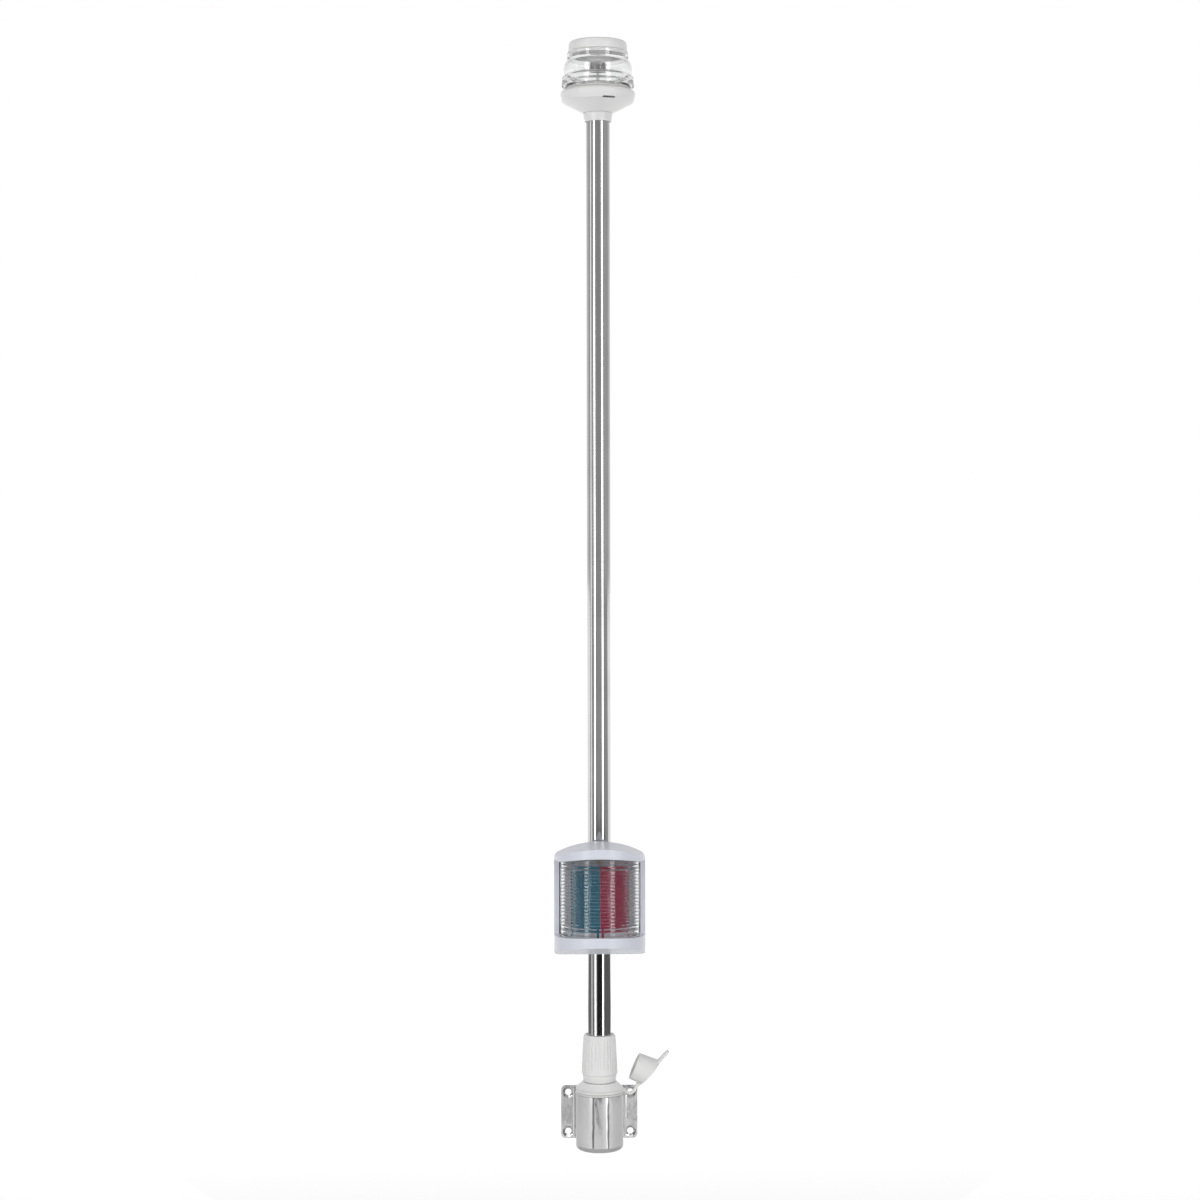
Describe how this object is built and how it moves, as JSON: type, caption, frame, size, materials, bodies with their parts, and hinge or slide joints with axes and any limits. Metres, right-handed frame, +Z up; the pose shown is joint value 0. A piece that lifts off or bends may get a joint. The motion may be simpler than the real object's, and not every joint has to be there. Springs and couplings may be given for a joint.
{
  "type": "navigation light",
  "caption": "Plug-in stainless pole light for a boat: all-round white head, red and green sidelight, ring nut, wall socket bracket and flip cap.",
  "frame": {"origin": "centre of the wall bracket's back face, which lies against the wall", "axes": "+Z up along the pole, +Y into the wall, -Y forward, +X to the right as seen from the front"},
  "size_m": [0.1072, 0.1152, 1.0343],
  "materials": {
    "polished_steel": "mirror-polished stainless steel",
    "screw_steel": "satin stainless steel",
    "white_plastic": "satin moulded white plastic",
    "cool_white_plastic": "satin moulded plastic, faintly bluish white",
    "soft_white_plastic": "soft matt white PVC",
    "grey_plastic": "matt grey",
    "clear_acrylic": "clear ribbed acrylic",
    "green_acrylic": "transparent blue-green",
    "red_acrylic": "transparent red",
    "lamp_glass": "clear glass",
    "brass": "plain brass",
    "black_rubber": "matt black rubber",
    "pale_silicone": "matt pale grey silicone",
    "cable_sheath": "matt black sheath"
  },
  "bodies": {
    "base": {"wall_bracket": "polished_steel", "cable_outlet": "black_rubber", "socket_gasket": "soft_white_plastic", "socket_body": "white_plastic", "socket_contact_rear": "brass", "socket_contact_left": "brass", "socket_contact_right": "brass", "socket_screw_left": "screw_steel", "socket_screw_right": "screw_steel", "cap_strap_ring": "soft_white_plastic"},
    "cap": {"protective_cap": "soft_white_plastic"},
    "pole": {"pole_tube": "polished_steel", "pole_plug": "white_plastic", "plug_pin_rear": "brass", "plug_pin_left": "brass", "plug_pin_right": "brass", "plug_seal": "black_rubber", "plug_rivet": "screw_steel", "head_cable": "cable_sheath", "side_cable": "cable_sheath", "tube_grommet": "black_rubber", "neck_adapter": "white_plastic", "neck_rivet": "screw_steel", "head_base": "white_plastic", "head_lock_nut": "white_plastic", "lamp_plate": "white_plastic", "lamp_plate_screw_left": "screw_steel", "lamp_plate_screw_right": "screw_steel", "lamp_socket": "grey_plastic", "lamp_stem": "screw_steel", "lamp_module": "grey_plastic", "lamp_band": "clear_acrylic", "lamp_lid": "soft_white_plastic", "pole_saddle": "cool_white_plastic", "side_screw_upper": "screw_steel", "side_screw_lower": "screw_steel", "side_housing": "cool_white_plastic", "side_gasket": "black_rubber", "side_reflector": "white_plastic", "side_contact_upper": "brass", "side_contact_lower": "brass", "side_bulb_glass": "lamp_glass", "side_bulb_cap_upper": "screw_steel", "side_bulb_cap_lower": "screw_steel"},
    "nut_washer": {"thrust_washer": "soft_white_plastic"},
    "nut": {"ring_nut": "white_plastic"},
    "lens_seal": {"head_seal": "pale_silicone"},
    "lens": {"head_lens": "clear_acrylic", "head_cap": "white_plastic"},
    "cover": {"side_cover": "cool_white_plastic", "side_lens": "clear_acrylic", "green_filter": "green_acrylic", "red_filter": "red_acrylic"}
  },
  "joints": [
    {"name": "cap_strap_bend", "type": "hinge", "parent": "base", "child": "cap", "pos_m": [0.0285, -0.0252, 0.0226], "axis": [0, 1, 0], "range_deg": [-25, 60], "stiffness_Nm_per_rad": 0.06},
    {"name": "pole_lift", "type": "slide", "parent": "base", "child": "pole", "axis": [0, 0, 1], "range_m": [0, 0.06]},
    {"name": "nut_rise", "type": "slide", "parent": "pole", "child": "nut_washer", "axis": [0, 0, 1], "range_m": [0, 0.006]},
    {"name": "nut_turn", "type": "hinge", "parent": "nut_washer", "child": "nut", "pos_m": [0, -0.0252, 0.056], "axis": [0, 0, 1], "range_deg": [0, 1080]},
    {"name": "lens_twist", "type": "hinge", "parent": "pole", "child": "lens_seal", "pos_m": [0, -0.0252, 0.958], "axis": [0, 0, 1], "range_deg": [0, 20]},
    {"name": "lens_lift", "type": "slide", "parent": "lens_seal", "child": "lens", "axis": [0, 0, 1], "range_m": [0, 0.06]},
    {"name": "cover_pull", "type": "slide", "parent": "pole", "child": "cover", "axis": [0, -1, 0], "range_m": [0, 0.06]}
  ],
  "couplings": [
    {"joint": "nut_rise", "follows": "nut_turn", "m_per_rad": 0.0003183}
  ]
}
